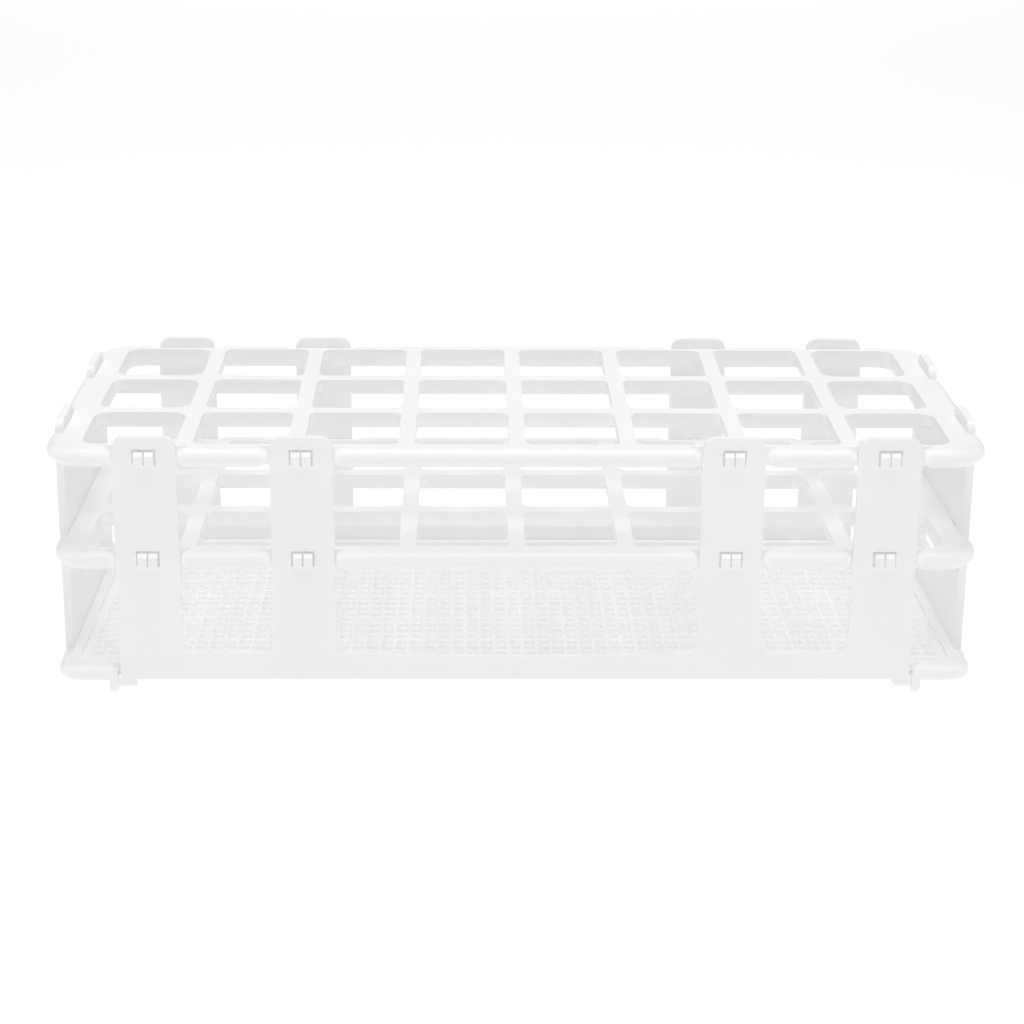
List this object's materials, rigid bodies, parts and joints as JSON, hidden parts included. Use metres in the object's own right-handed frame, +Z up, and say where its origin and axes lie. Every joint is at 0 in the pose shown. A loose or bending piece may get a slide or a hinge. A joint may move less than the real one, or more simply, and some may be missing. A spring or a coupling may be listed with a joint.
{
  "type": "test tube rack",
  "caption": "Knock-down white plastic test tube rack: perforated tray, open grid tiers and side panels that hinge on the tray's ears and close over split prongs.",
  "frame": {"origin": "middle of the rack's footprint, on the surface that its feet stand on", "axes": "+X along the rack, +Y to the back, +Z up"},
  "size_m": [0.2502, 0.11, 0.0724],
  "materials": {
    "white_plastic": "satin moulded polypropylene"
  },
  "bodies": {
    "rack": {"base_tray": "white_plastic", "middle_tier": "white_plastic", "top_tier": "white_plastic"},
    "front": {"front_panel": "white_plastic"},
    "back": {"back_panel": "white_plastic"},
    "left": {"left_panel": "white_plastic"},
    "right": {"right_panel": "white_plastic"}
  },
  "joints": [
    {"name": "front_hinge", "type": "hinge", "parent": "rack", "child": "front", "pos_m": [0, -0.0509, 0.0032], "axis": [1, 0, 0], "range_deg": [0, 80]},
    {"name": "back_hinge", "type": "hinge", "parent": "rack", "child": "back", "pos_m": [0, 0.0509, 0.0032], "axis": [-1, 0, 0], "range_deg": [0, 80]},
    {"name": "left_hinge", "type": "hinge", "parent": "rack", "child": "left", "pos_m": [-0.1214, 0, 0.0032], "axis": [0, -1, 0], "range_deg": [0, 80]},
    {"name": "right_hinge", "type": "hinge", "parent": "rack", "child": "right", "pos_m": [0.1214, 0, 0.0032], "axis": [0, 1, 0], "range_deg": [0, 80]}
  ]
}
